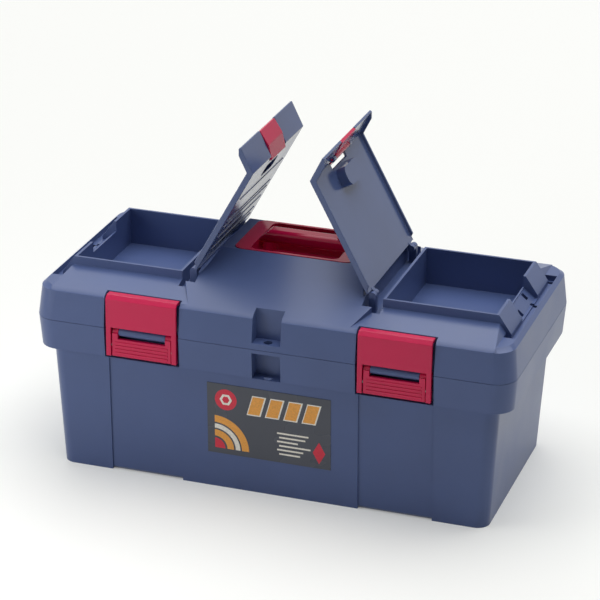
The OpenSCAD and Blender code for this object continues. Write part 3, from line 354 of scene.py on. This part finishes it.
def finish(scene, slot, kind="shell"):
    """The material of a record slot with the sheen of one kind of piece, made once."""
    name = slot + "_" + kind
    if name in bpy.data.materials:
        return bpy.data.materials[name]
    looks = scene.toolbox_finishes
    grain = looks.grain
    if slot == "steel":
        return drawn_steel(name, looks.steel)
    if slot == "label_film":
        return moulded_plastic(name, looks.film, FILM_GLOSS, grain, FINE_GRAIN)
    gloss = {
        "shell": looks.shell_gloss, "wing": looks.wing_gloss, "latch": looks.latch_gloss,
        "catch": looks.handle_gloss, "handle": looks.handle_gloss}[kind]
    if slot in ("crimson_plastic", "guard_plastic"):
        # The handle takes the crimson darkened as painted shade, the other pieces the plain crimson
        colour = looks.shaded_crimson if kind == "handle" else looks.crimson
        shine = SOFT_SHINE if kind in ("handle", "catch") else PLAIN_SHINE
        return moulded_plastic(name, colour, gloss, grain, LATCH_GRAIN, shine)
    if kind == "wing":
        return moulded_plastic(name, looks.navy, gloss, grain, FINE_GRAIN, BRIGHT_SHINE, FINE_WAVE)
    return moulded_plastic(name, looks.navy, gloss, grain, SHELL_GRAIN)


# Shared mesh tools

def body_of(node):
    """The CAD body that a node belongs to."""
    for body, members in frame["record"]["behaviour"]["bodies"].items():
        if node in members:
            return body
    raise RuntimeError("no body holds " + node)


def slot_of(node):
    """The record's material slot of a node."""
    for row in frame["record"]["subparts"]:
        if row["node"] == node:
            return row["material_slot"]
    raise RuntimeError("no slot for " + node)


def fused(nodes):
    """The CAD solids of one moulding as one mesh, with the triangles of each flat face joined."""
    first = bpy.data.objects.new("fused", frame["nodes"][nodes[0]].data.copy())
    bpy.context.scene.collection.objects.link(first)
    for node in nodes[1:]:
        step = first.modifiers.new(node, "BOOLEAN")
        step.operation = "UNION"
        step.solver = "EXACT"
        step.object = frame["nodes"][node]
    done = first.evaluated_get(bpy.context.evaluated_depsgraph_get())
    work = bmesh.new()
    work.from_mesh(done.to_mesh())
    bpy.data.objects.remove(first)
    bmesh.ops.remove_doubles(work, verts=work.verts[:], dist=WELD)
    bmesh.ops.dissolve_limit(
        work, angle_limit=FLAT_ANGLE, use_dissolve_boundaries=False,
        verts=work.verts[:], edges=work.edges[:])
    bmesh.ops.triangulate(work, faces=[face for face in work.faces if len(face.verts) > 4])
    if any(len(edge.link_faces) != 2 for edge in work.edges):
        raise RuntimeError("the moulding of " + nodes[0] + " isn't closed")
    return work


def roundable(edge, width, sharp, parting):
    """Whether an edge is sharp, off the parting line, and has room for a rounding of that width."""
    if len(edge.link_faces) != 2 or edge.calc_face_angle(0.0) < sharp:
        return False
    if all(abs(corner.co.z - parting) < CRISP_BAND for corner in edge.verts):
        return False
    if edge.calc_length() < ROOM_ALONG * width:
        return False
    for corner in edge.verts:
        for other in corner.link_edges:
            if other is not edge and other.calc_length() < ROOM_BESIDE * width:
                return False
    return True


def flat_areas(work, rounded):
    """The area of the flat region that each face is part of."""
    areas = {}
    level = math.cos(LEVEL_ANGLE)
    for start in work.faces:
        if start in areas:
            continue
        region, border = {start}, [start]
        while border:
            face = border.pop()
            for edge in face.edges:
                for other in edge.link_faces:
                    if other not in region and other.normal.dot(start.normal) > level:
                        if (other in rounded) == (start in rounded):
                            region.add(other)
                            border.append(other)
        area = sum(face.calc_area() for face in region)
        areas.update((face, area) for face in region)
    return areas


def even_normals(work, rounded):
    """Corner normals that keep flat faces flat and turn evenly over rounded edges and curved walls."""
    work.normal_update()
    areas = flat_areas(work, rounded)
    alike = math.cos(SMOOTH_ANGLE)
    normals = []
    for face in work.faces:
        for corner in face.loops:
            near = [f for f in corner.vert.link_faces if f.normal.dot(face.normal) > alike]
            flat = [f for f in near if f not in rounded]
            total = Vector()
            for other in flat or near:
                total += other.normal * areas[other]
            normals.append(total.normalized())
    return normals


def placed(scene, name, mesh, slot, kind, body):
    """A new object with the finish of its slot where its mesh has none yet, riding on a body."""
    piece = bpy.data.objects.new(name, mesh)
    scene.collection.objects.link(piece)
    if not mesh.materials:
        mesh.materials.append(finish(scene, slot, kind))
    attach(piece, body)
    return piece


def moulded(scene, name, nodes, width, kind, sharp=SHARP):
    """A piece that stands for the CAD solids of one moulding, with its sharp edges rounded."""
    sizes = scene.toolbox_moulding
    work = fused(nodes)
    chosen = [edge for edge in work.edges if roundable(edge, width, sharp, sizes.parting)]
    made = bmesh.ops.bevel(
        work, geom=chosen, offset=width, offset_type="OFFSET", segments=sizes.steps, profile=0.5,
        affect="EDGES", clamp_overlap=True)
    normals = even_normals(work, set(made["faces"]))
    mesh = bpy.data.meshes.new(name)
    work.to_mesh(mesh)
    work.free()
    mesh.shade_smooth()
    mesh.normals_split_custom_set(normals)
    piece = placed(scene, name, mesh, slot_of(nodes[0]), kind, body_of(nodes[0]))
    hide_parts(*nodes)
    return piece


# Operators, one for each piece or group of like pieces

class TOOLBOX_OT_tub(Operator):
    """Makes the tub with its rim, front channels and latch pockets"""

    bl_idname = "toolbox.tub"
    bl_label = "Tub"

    def execute(self, context):
        scene = context.scene
        moulded(scene, "tub_moulding", TUB_NODES, scene.toolbox_moulding.shell_edge, "shell")
        return {"FINISHED"}


class TOOLBOX_OT_lid(Operator):
    """Makes the lid with its hood, bins and gutters"""

    bl_idname = "toolbox.lid"
    bl_label = "Lid"

    def execute(self, context):
        scene = context.scene
        moulded(scene, "lid_moulding", LID_NODES, scene.toolbox_moulding.shell_edge, "shell")
        return {"FINISHED"}


class TOOLBOX_OT_wings(Operator):
    """Makes both wings with their bent lips and fine ribs"""

    bl_idname = "toolbox.wings"
    bl_label = "Wings"

    def panel(self, side):
        """A wing's outer face as it stands: its bend's middle, the way to the bend and the way outwards."""
        hinge = next(j for j in frame["joints"] if j["name"] == side + "_wing_hinge")
        turn = math.radians(hinge["range_deg"][1])
        along = Vector((SIDES[side] * math.cos(turn), 0.0, math.sin(turn)))
        out = Vector((-SIDES[side] * math.sin(turn), 0.0, math.cos(turn)))
        axis = Vector(hinge["pos_m"])
        mesh = frame["nodes"][side + "_wing"].data
        # Outward faces, gathered by their level to a tenth of a millimetre
        levels = {}
        for face in mesh.polygons:
            if face.normal.dot(out) > WING_FACING:
                levels.setdefault(round((face.center - axis).dot(out) / MM, 1), []).append(face)
        widest = max(levels.values(), key=lambda faces: sum(face.area for face in faces))
        corners = [mesh.vertices[k].co - axis for face in widest for k in face.vertices]
        bend = max(corner.dot(along) for corner in corners)
        return axis + corners[0].dot(out) * out + bend * along, along, out

    def ribs(self, scene, side):
        """Fine ribs across the outer face of a wing."""
        sizes = scene.toolbox_moulding
        bend, along, out = self.panel(side)
        half, rise, reach = sizes.rib_width / 2.0, sizes.rib_height, sizes.rib_reach
        shoulder = RIB_SHOULDER * rise
        section = [
            (-half, -rise), (-half, shoulder), (-half / 2.0, rise),
            (half / 2.0, rise), (half, shoulder), (half, -rise)]
        points, faces = [], []
        for place in RIB_PLACES:
            first = len(points)
            for y in (-reach, reach):
                for a, o in section:
                    points.append(bend + (a - place * MM) * along + o * out + Vector((0.0, y, 0.0)))
            count = len(section)
            for k in range(count):
                n = (k + 1) % count
                faces.append((first + k, first + n, first + count + n, first + count + k))
            faces.append([first + k for k in range(count)])
            faces.append([first + count + k for k in range(count)])
        mesh = bpy.data.meshes.new(side + "_wing_ribs")
        mesh.from_pydata(points, [], faces)
        work = bmesh.new()
        work.from_mesh(mesh)
        bmesh.ops.recalc_face_normals(work, faces=work.faces[:])
        work.to_mesh(mesh)
        work.free()
        wing = side + "_wing"
        placed(scene, wing + "_ribs", mesh, slot_of(wing), "wing", body_of(wing))

    def execute(self, context):
        scene = context.scene
        edge = scene.toolbox_moulding.wing_edge
        for side in SIDES:
            moulded(scene, side + "_wing_moulding", [side + "_wing"], edge, "wing")
            self.ribs(scene, side)
        return {"FINISHED"}


class TOOLBOX_OT_latches(Operator):
    """Makes the latch plates, the latch levers and the wing catches"""

    bl_idname = "toolbox.latches"
    bl_label = "Latches and catches"

    def execute(self, context):
        scene = context.scene
        edge = scene.toolbox_moulding.latch_edge
        for side in SIDES:
            for node in ("_latch_plate", "_latch_lever"):
                moulded(scene, side + node + "_moulding", [side + node], edge, "latch")
            catch = side + "_wing_catch"
            moulded(scene, catch + "_moulding", [catch], edge, "catch", CATCH_SHARP)
        return {"FINISHED"}


class TOOLBOX_OT_handle(Operator):
    """Makes the carry handle with its frame, well and grip"""

    bl_idname = "toolbox.handle"
    bl_label = "Carry handle"

    def execute(self, context):
        scene = context.scene
        moulded(scene, "handle_moulding", ["handle"], scene.toolbox_moulding.handle_edge, "handle")
        return {"FINISHED"}


class TOOLBOX_OT_label(Operator):
    """Prints the label with bars, arcs, lines, a disc and a lozenge"""

    bl_idname = "toolbox.label"
    bl_label = "Label print"

    def ground(self):
        """The label's front face: its middle, and the ways to the right, up and outwards."""
        mesh = frame["nodes"]["front_label"].data
        fronts = [face for face in mesh.polygons if face.normal.y < -LABEL_FACING]
        front = max(fronts, key=lambda face: face.area)
        out = front.normal.copy()
        right = Vector((1.0, 0.0, 0.0))
        up = out.cross(right).normalized()
        corners = [v.co for v in mesh.vertices]
        face = max(c.dot(out) for c in corners)
        high = [c.dot(up) for c in corners if c.dot(out) > face - LABEL_SKIN]
        wide = [c.x for c in corners]
        middle = face * out + (max(high) + min(high)) / 2.0 * up
        middle.x = (max(wide) + min(wide)) / 2.0
        return middle, right, up, out

    def print_shapes(self, scene, name, colour, shapes, rise):
        """One ink's shapes, each a polygon in millimetres on the label, at a height above the film."""
        middle, right, up, out = self.ground()
        points, faces = [], []
        for shape in shapes:
            first = len(points)
            points += [middle + (u * right + v * up + rise * out) * MM for u, v in shape]
            faces.append(range(first, first + len(shape)))
        mesh = bpy.data.meshes.new(name)
        mesh.from_pydata(points, [], [list(face) for face in faces])
        mesh.materials.append(printed_ink(name, colour))
        placed(scene, name, mesh, "label_film", "shell", body_of("front_label"))

    def arc(self, u, v, inner, outer, start, end, parts=20):
        """Quads of a ring's sector."""
        turns = [math.radians(start + (end - start) * k / parts) for k in range(parts + 1)]
        rim = [(math.cos(t), math.sin(t)) for t in turns]
        return [
            [(u + inner * a[0], v + inner * a[1]), (u + outer * a[0], v + outer * a[1]),
             (u + outer * b[0], v + outer * b[1]), (u + inner * b[0], v + inner * b[1])]
            for a, b in zip(rim, rim[1:])]

    def slanted(self, u, v, width, height, lean):
        """A leaning bar."""
        return [(u, v), (u + width, v), (u + width + lean, v + height), (u + lean, v + height)]

    def execute(self, context):
        scene = context.scene
        looks = scene.toolbox_finishes
        edged_w, edged_h = BAR_W + 2.0 * BAR_EDGE, BAR_H + 2.0 * BAR_EDGE
        pale = [
            self.slanted(u - BAR_EDGE, v - BAR_EDGE, edged_w, edged_h, EDGE_LEAN) for u, v in BAR_PLACES]
        for k in range(LINES):
            start = LINE_X + LINE_INDENT * (k % 2)
            length = LINE_W - LINE_STEP * (k % 3)
            pale.append(self.slanted(start, LINE_Y - LINE_PITCH * k, length, LINE_H, 0.0))
        pale += self.arc(*BOW_MIDDLE, *PALE_BOW, 0.0, 90.0)
        pale += self.arc(*DISC_MIDDLE, *RING, 0.0, 360.0, 6)
        amber = [self.slanted(u, v, BAR_W, BAR_H, BAR_LEAN) for u, v in BAR_PLACES]
        for bow in AMBER_BOWS:
            amber += self.arc(*BOW_MIDDLE, *bow, 0.0, 90.0)
        u, v = LOZENGE_MIDDLE
        half_w, half_h = LOZENGE_HALF
        red = self.arc(*DISC_MIDDLE, *DISC, 0.0, 360.0, 40)
        red += [[(u - half_w, v), (u, v + half_h), (u + half_w, v), (u, v - half_h)]]
        red += self.arc(*BOW_MIDDLE, *RED_BOW, 0.0, 90.0)
        self.print_shapes(scene, "red_ink", looks.red, red, RED_RISE)
        self.print_shapes(scene, "pale_ink", looks.pale, pale, PALE_RISE)
        self.print_shapes(scene, "amber_ink", looks.amber, amber, AMBER_RISE)
        return {"FINISHED"}


class TOOLBOX_OT_fittings(Operator):
    """Gives the pins, the screws, the label and the tray their finishes"""

    bl_idname = "toolbox.fittings"
    bl_label = "Pins, label and tray"

    def execute(self, context):
        scene = context.scene
        moulded(scene, "tray_moulding", TRAY_NODES, scene.toolbox_moulding.wing_edge, "shell")
        for node, piece in frame["nodes"].items():
            if not piece.hide_render:
                piece.data.materials.clear()
                piece.data.materials.append(finish(scene, slot_of(node)))
        return {"FINISHED"}


class TOOLBOX_OT_stage(Operator):
    """Makes the floor, the lamps and the camera"""

    bl_idname = "toolbox.stage"
    bl_label = "Stage"

    def seen_level(self, tree, light, view):
        """One level for the light that is cast, and one for what the camera and reflections see."""
        path = tree.nodes.new("ShaderNodeLightPath")
        seen = path.outputs["Is Camera Ray"]
        for ray in ("Is Glossy Ray", "Is Transmission Ray"):
            either = tree.nodes.new("ShaderNodeMath")
            either.operation = "MAXIMUM"
            tree.links.new(seen, either.inputs[0])
            tree.links.new(path.outputs[ray], either.inputs[1])
            seen = either.outputs["Value"]
        level = tree.nodes.new("ShaderNodeMapRange")
        level.inputs["To Min"].default_value = light
        level.inputs["To Max"].default_value = view
        tree.links.new(seen, level.inputs["Value"])
        return level.outputs["Result"]

    def floor(self, scene):
        """A wide pale floor."""
        sizes = scene.toolbox_stage
        half = sizes.floor_size
        mesh = bpy.data.meshes.new("floor")
        corners = [(-half, -half, 0.0), (half, -half, 0.0), (half, half, 0.0), (-half, half, 0.0)]
        mesh.from_pydata(corners, [], [(0, 1, 2, 3)])
        made, tree, shader = new_material("floor_paper")
        shader.inputs["Base Color"].default_value = list(sizes.floor_colour) + [1.0]
        shader.inputs["Roughness"].default_value = FLOOR_ROUGHNESS
        shader.inputs["Specular IOR Level"].default_value = 0.0
        shader.inputs["Emission Color"].default_value = list(sizes.floor_colour) + [1.0]
        tree.links.new(self.seen_level(tree, 0.0, sizes.floor_glow), shader.inputs["Emission Strength"])
        mesh.materials.append(made)
        floor = bpy.data.objects.new("floor", mesh)
        scene.collection.objects.link(floor)

    def lamp(self, scene, name, place, size, power):
        """A square soft lamp that points at the tool box."""
        data = bpy.data.lights.new(name, "AREA")
        data.shape = "SQUARE"
        data.size = size
        data.energy = power
        lamp = bpy.data.objects.new(name, data)
        lamp.location = place
        middle = (Vector(CAD_BOX[0]) + Vector(CAD_BOX[1])) / 2.0
        lamp.rotation_euler = (middle - Vector(place)).to_track_quat("-Z", "Y").to_euler()
        scene.collection.objects.link(lamp)

    def room(self, scene):
        """A dim even room that shows pale in reflections."""
        sizes = scene.toolbox_stage
        world = bpy.data.worlds.new("studio")
        world.use_nodes = True
        tree = world.node_tree
        sky = tree.nodes["Background"]
        sky.inputs["Color"].default_value = ROOM_COLOUR
        level = self.seen_level(tree, sizes.world_strength, sizes.sky_strength)
        tree.links.new(level, sky.inputs["Strength"])
        scene.world = world

    def camera(self, scene):
        """The camera at the photograph's viewing angle."""
        sizes = scene.toolbox_stage
        az, el = sizes.azimuth, sizes.elevation
        back = Vector((math.sin(az) * math.cos(el), -math.cos(az) * math.cos(el), math.sin(el)))
        right = Vector((math.cos(az), math.sin(az), 0.0))
        up = back.cross(right)
        c, s = math.cos(sizes.roll), math.sin(sizes.roll)
        right, up = c * right + s * up, c * up - s * right
        data = bpy.data.cameras.new("camera")
        data.lens = sizes.lens
        data.clip_end = CLIP_END
        camera = bpy.data.objects.new("camera", data)
        turn = Matrix((right, up, back)).transposed().to_4x4()
        place = sizes.distance * back - sizes.offset[0] * right - sizes.offset[1] * up
        camera.matrix_world = Matrix.Translation(place) @ turn
        scene.collection.objects.link(camera)
        scene.camera = camera

    def execute(self, context):
        scene = context.scene
        sizes = scene.toolbox_stage
        scene.view_settings.view_transform = "Standard"
        self.floor(scene)
        self.lamp(scene, "key_lamp", sizes.key_place, sizes.key_size, sizes.key_power)
        self.lamp(scene, "fill_lamp", sizes.fill_place, sizes.fill_size, sizes.fill_power)
        self.room(scene)
        self.camera(scene)
        return {"FINISHED"}


class TOOLBOX_PT_panel(Panel):
    """Lists the tool box's operators in the sidebar"""

    bl_idname = "TOOLBOX_PT_panel"
    bl_label = "Tool box"
    bl_space_type = "VIEW_3D"
    bl_region_type = "UI"
    bl_category = "Tool box"

    def draw(self, context):
        for operator in OPERATORS:
            self.layout.operator(operator.bl_idname)


OPERATORS = (
    TOOLBOX_OT_tub,
    TOOLBOX_OT_lid,
    TOOLBOX_OT_wings,
    TOOLBOX_OT_latches,
    TOOLBOX_OT_handle,
    TOOLBOX_OT_label,
    TOOLBOX_OT_fittings,
    TOOLBOX_OT_stage,
)
GROUPS = {
    "toolbox_moulding": MouldingSizes,
    "toolbox_finishes": Finishes,
    "toolbox_stage": StageSizes,
}


def register():
    for name, group in GROUPS.items():
        bpy.utils.register_class(group)
        setattr(bpy.types.Scene, name, PointerProperty(type=group))
    for cls in (*OPERATORS, TOOLBOX_PT_panel):
        bpy.utils.register_class(cls)


def unregister():
    for cls in reversed((*OPERATORS, TOOLBOX_PT_panel)):
        bpy.utils.unregister_class(cls)
    for name, group in GROUPS.items():
        delattr(bpy.types.Scene, name)
        bpy.utils.unregister_class(group)


def main():
    register()
    bpy.ops.toolbox.stage()
    bpy.ops.toolbox.tub()
    bpy.ops.toolbox.lid()
    bpy.ops.toolbox.wings()
    bpy.ops.toolbox.latches()
    bpy.ops.toolbox.handle()
    bpy.ops.toolbox.label()
    bpy.ops.toolbox.fittings()


if __name__ == "__main__":
    main()
